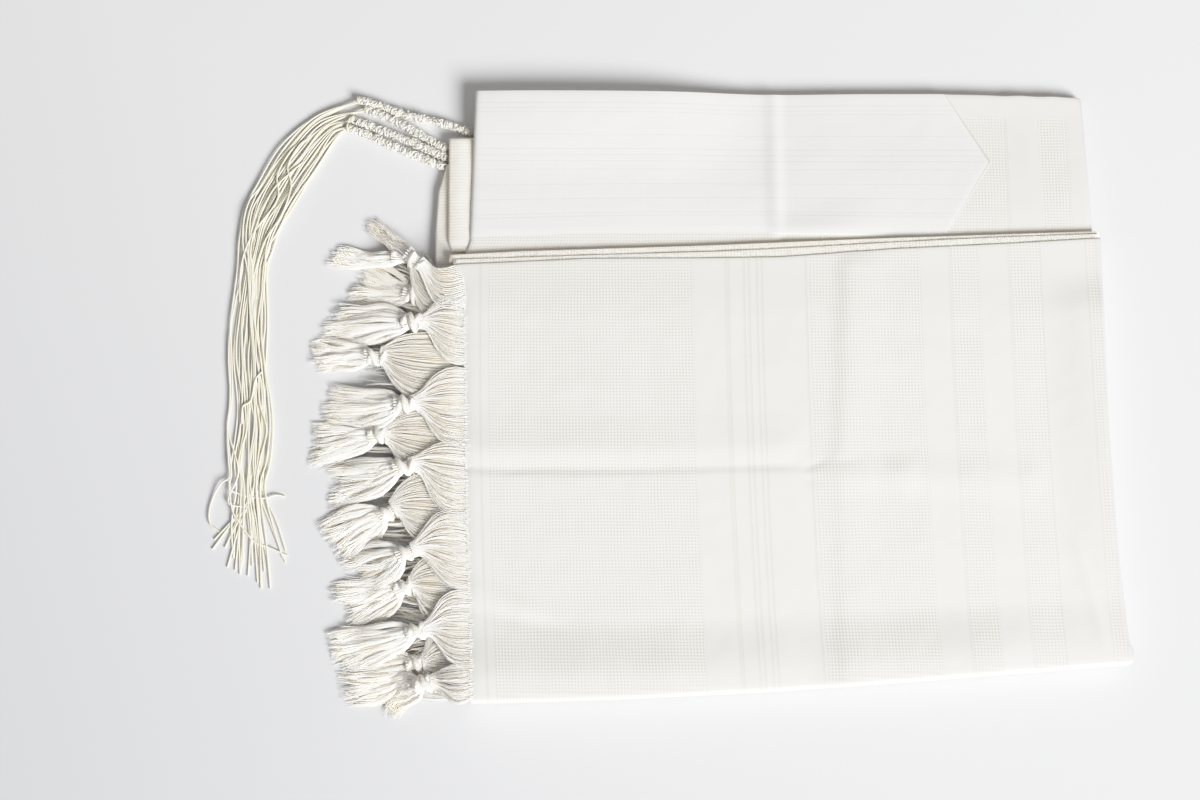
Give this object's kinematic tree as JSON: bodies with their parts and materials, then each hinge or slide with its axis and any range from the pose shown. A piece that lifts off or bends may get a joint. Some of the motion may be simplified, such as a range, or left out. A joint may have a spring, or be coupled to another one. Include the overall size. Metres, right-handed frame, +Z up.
{
  "type": "folded tallit prayer shawl",
  "caption": "White woven wool prayer shawl folded flat, with a pointed neckband, knotted edge fringe and long corner tassels of cream string.",
  "frame": {"origin": "middle of the folded stack's flat underside, on the surface it rests on", "axes": "+X along the folded width away from the fringe, +Y from the rolled bottom fold to the neck edge, +Z up"},
  "size_m": [0.6299, 0.4336, 0.019],
  "materials": {
    "shawl_cloth": "white wool, open check weave with smooth satin and line stripes, matt",
    "band_cloth": "white smooth band cloth with fine woven lines, soft sheen",
    "fringe_wool": "loose white wool warp threads, knotted, fluffy",
    "string_wool": "cream plied wool string, wound and knotted"
  },
  "bodies": {
    "root": {"folded_stack": "shawl_cloth", "back_panel": "shawl_cloth", "neckband": "band_cloth", "side_fold_upper": "shawl_cloth", "side_fold_lower": "shawl_cloth", "flap_layer_lower": "shawl_cloth", "flap_layer_middle": "shawl_cloth", "front_panel": "shawl_cloth", "fringe_upper_1": "fringe_wool", "fringe_upper_2": "fringe_wool", "fringe_upper_3": "fringe_wool", "fringe_upper_4": "fringe_wool", "fringe_upper_5": "fringe_wool", "fringe_upper_6": "fringe_wool", "fringe_upper_7": "fringe_wool", "fringe_lower_1": "fringe_wool", "fringe_lower_2": "fringe_wool", "fringe_lower_3": "fringe_wool", "fringe_lower_4": "fringe_wool", "fringe_lower_5": "fringe_wool", "fringe_lower_6": "fringe_wool", "fringe_lower_7": "fringe_wool", "corner_cord_1": "string_wool", "corner_cord_2": "string_wool", "corner_cord_3": "string_wool", "corner_cord_4": "string_wool", "corner_strings_1": "string_wool", "corner_strings_2": "string_wool", "corner_strings_3": "string_wool", "corner_strings_4": "string_wool"}
  },
  "joints": []
}
